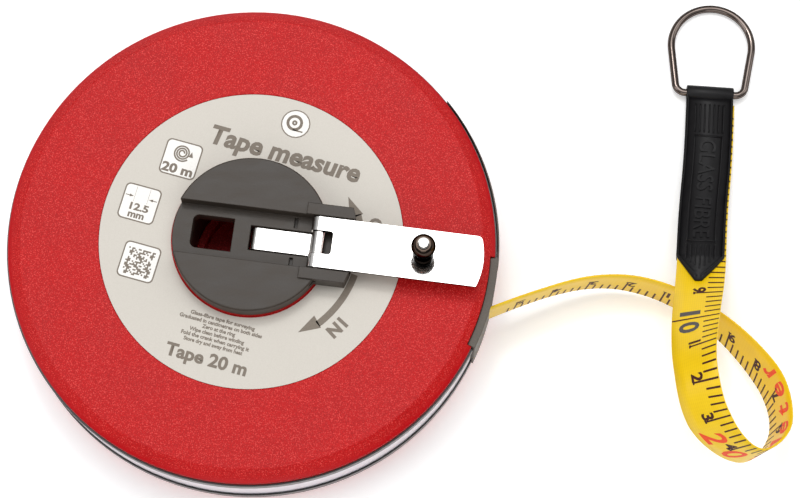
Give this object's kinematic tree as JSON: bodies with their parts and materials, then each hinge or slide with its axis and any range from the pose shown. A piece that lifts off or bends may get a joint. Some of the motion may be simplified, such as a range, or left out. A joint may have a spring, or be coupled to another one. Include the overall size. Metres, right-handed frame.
{
  "type": "surveyor tape reel",
  "caption": "Closed round measuring-tape reel with a folding winding crank and spinning knob; a flat tape leaves a rim mouth and ends in a strap with a swinging end ring.",
  "frame": {"origin": "centre of the flat rear face of the case, on the surface it lies on", "axes": "+Z along the axis of the case towards the crank; +X towards the side where the tape leaves; +Y completes the frame"},
  "size_m": [0.1968, 0.132, 0.0427],
  "materials": {
    "red_shell": "textured red moulded plastic with a smooth bevel",
    "black_seam": "glossy black moulded rim",
    "band_metal": "bright rolled band",
    "guide_plastic": "dark olive grey moulded guide",
    "label_print": "printed grey foil label",
    "screw_steel": "zinc-plated screws",
    "washer_plastic": "thin natural plastic thrust washers",
    "hub_plastic": "satin black moulded hub",
    "tape_fibre": "yellow coated glass-fibre tape",
    "crank_chrome": "polished nickel-plated sheet",
    "knob_chrome": "polished dark chrome",
    "strap_black": "black flexible plastic strap",
    "ring_steel": "bright bent wire"
  },
  "bodies": {
    "case": {"front_shell": "red_shell", "rear_shell": "red_shell", "rim_frame": "black_seam", "rim_band": "band_metal", "mouth_guide": "guide_plastic", "front_label": "label_print", "case_screws": "screw_steel", "front_washer": "washer_plastic", "rear_washer": "washer_plastic", "free_tape": "tape_fibre", "hook_strap": "strap_black"},
    "drum": {"hub_cap": "hub_plastic", "drum_core": "hub_plastic", "tape_anchor": "hub_plastic", "tape_coil": "tape_fibre", "hub_screws": "screw_steel", "hinge_pin": "crank_chrome", "hinge_leaf": "crank_chrome"},
    "crank": {"crank_arm": "crank_chrome", "knob_stud": "knob_chrome"},
    "knob": {"knob_sleeve": "knob_chrome"},
    "ring": {"end_ring": "ring_steel"}
  },
  "joints": [
    {"name": "drum_spin", "type": "hinge", "parent": "case", "child": "drum", "pos_m": [0, 0, 0.0125], "axis": [0, 0, 1], "continuous": true},
    {"name": "crank_fold", "type": "hinge", "parent": "drum", "child": "crank", "pos_m": [0.01688, -0.00237, 0.02925], "axis": [-0.1392, -0.9903, 0], "range_deg": [0, 180]},
    {"name": "knob_spin", "type": "hinge", "parent": "crank", "child": "knob", "pos_m": [0.04308, -0.00605, 0.036], "axis": [0, 0, 1], "continuous": true},
    {"name": "ring_swing", "type": "hinge", "parent": "case", "child": "ring", "pos_m": [0.12054, 0.04468, 0.00204], "axis": [0.9968, -0.08, 0], "range_deg": [-150, 150]}
  ]
}
